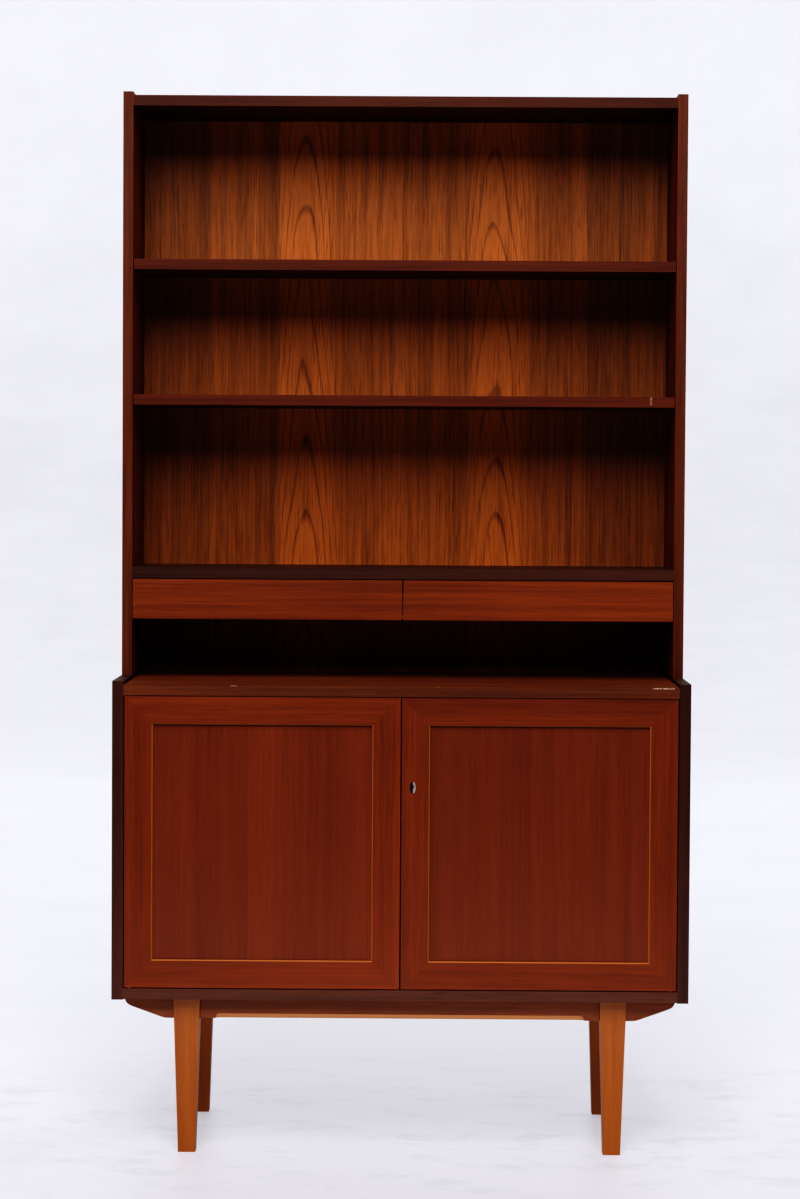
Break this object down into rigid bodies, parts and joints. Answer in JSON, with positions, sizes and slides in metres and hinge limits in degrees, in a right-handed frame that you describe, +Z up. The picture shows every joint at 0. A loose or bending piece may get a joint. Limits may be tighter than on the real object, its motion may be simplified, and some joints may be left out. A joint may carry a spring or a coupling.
{
  "type": "bookcase with adjustable shelves",
  "caption": "Two-piece wooden bookcase: open shelves and shallow drawers above a deeper cabinet with framed doors, on tapered legs.",
  "frame": {"origin": "middle of the footprint, on the floor plane under the feet", "axes": "+Z up, front faces -Y, +X to the right seen from the front"},
  "size_m": [0.97, 0.4, 1.805],
  "materials": {
    "teak": "satin oiled",
    "teak_dark": "satin oiled",
    "teak_veneer_back": "satin oiled",
    "teak_door": "satin oiled",
    "teak_drawer": "satin oiled",
    "leg_wood": "satin lacquered",
    "plywood": "raw",
    "steel": "satin",
    "brass": "satin",
    "nickel": "satin"
  },
  "bodies": {
    "carcass": {"upper_side_left": "teak", "upper_side_right": "teak", "upper_top_board": "teak", "upper_back_panel": "teak_veneer_back", "fixed_shelf": "teak_dark", "drawer_case_bottom": "plywood", "drawer_divider": "plywood", "lower_side_left": "teak_dark", "lower_side_right": "teak_dark", "lower_top_board": "teak_dark", "lower_bottom_board": "teak_dark", "lower_back_panel": "plywood", "door_stop_block": "teak_dark", "base_front_rail": "teak_dark", "base_rear_rail": "teak_dark", "base_side_rail_left": "teak_dark", "base_side_rail_right": "teak_dark", "leg_front_left": "leg_wood", "leg_front_right": "leg_wood", "leg_rear_left": "leg_wood", "leg_rear_right": "leg_wood", "upper_shelf_1_wire_left": "steel", "upper_shelf_1_wire_right": "steel", "upper_shelf_2_wire_left": "steel", "upper_shelf_2_wire_right": "steel", "lower_shelf_wire_left": "steel", "lower_shelf_wire_right": "steel", "door_left_pivot_top": "brass", "door_left_pivot_bottom": "brass", "door_right_pivot_top": "brass", "door_right_pivot_bottom": "brass"},
    "upper_shelf_1_board": {"upper_shelf_1": "teak"},
    "upper_shelf_2_board": {"upper_shelf_2": "teak"},
    "lower_shelf_board": {"lower_shelf": "teak_dark"},
    "drawer_left": {"drawer_left_front": "teak_drawer", "drawer_left_inner_side": "plywood", "drawer_left_outer_side": "plywood", "drawer_left_back": "plywood", "drawer_left_floor": "plywood"},
    "door_left": {"door_left_lock_stile": "teak_door", "door_left_hinge_stile": "teak_door", "door_left_top_rail": "teak_door", "door_left_bottom_rail": "teak_door", "door_left_panel": "teak_door", "strike_plate": "brass"},
    "drawer_right": {"drawer_right_front": "teak_drawer", "drawer_right_inner_side": "plywood", "drawer_right_outer_side": "plywood", "drawer_right_back": "plywood", "drawer_right_floor": "plywood"},
    "door_right": {"door_right_lock_stile": "teak_door", "door_right_hinge_stile": "teak_door", "door_right_top_rail": "teak_door", "door_right_bottom_rail": "teak_door", "door_right_panel": "teak_door", "lock_case": "steel", "escutcheon": "nickel"},
    "bolt": {"lock_bolt": "brass"}
  },
  "joints": [
    {"name": "door_left_hinge", "type": "hinge", "parent": "carcass", "child": "door_left", "pos_m": [-0.456, -0.1935, 0.53], "axis": [0, 0, -1], "range_deg": [0, 105]},
    {"name": "door_right_hinge", "type": "hinge", "parent": "carcass", "child": "door_right", "pos_m": [0.456, -0.1935, 0.53], "axis": [0, 0, 1], "range_deg": [0, 105]},
    {"name": "drawer_left_slide", "type": "slide", "parent": "carcass", "child": "drawer_left", "axis": [0, -1, 0], "range_m": [0, 0.15]},
    {"name": "drawer_right_slide", "type": "slide", "parent": "carcass", "child": "drawer_right", "axis": [0, -1, 0], "range_m": [0, 0.15]},
    {"name": "upper_shelf_1_slide", "type": "slide", "parent": "carcass", "child": "upper_shelf_1_board", "axis": [0, -1, 0], "range_m": [0, 0.12]},
    {"name": "upper_shelf_2_slide", "type": "slide", "parent": "carcass", "child": "upper_shelf_2_board", "axis": [0, -1, 0], "range_m": [0, 0.12]},
    {"name": "lower_shelf_slide", "type": "slide", "parent": "carcass", "child": "lower_shelf_board", "axis": [0, -1, 0], "range_m": [0, 0.025]},
    {"name": "lock_bolt_slide", "type": "slide", "parent": "door_right", "child": "bolt", "axis": [-1, 0, 0], "range_m": [0, 0.007]}
  ]
}
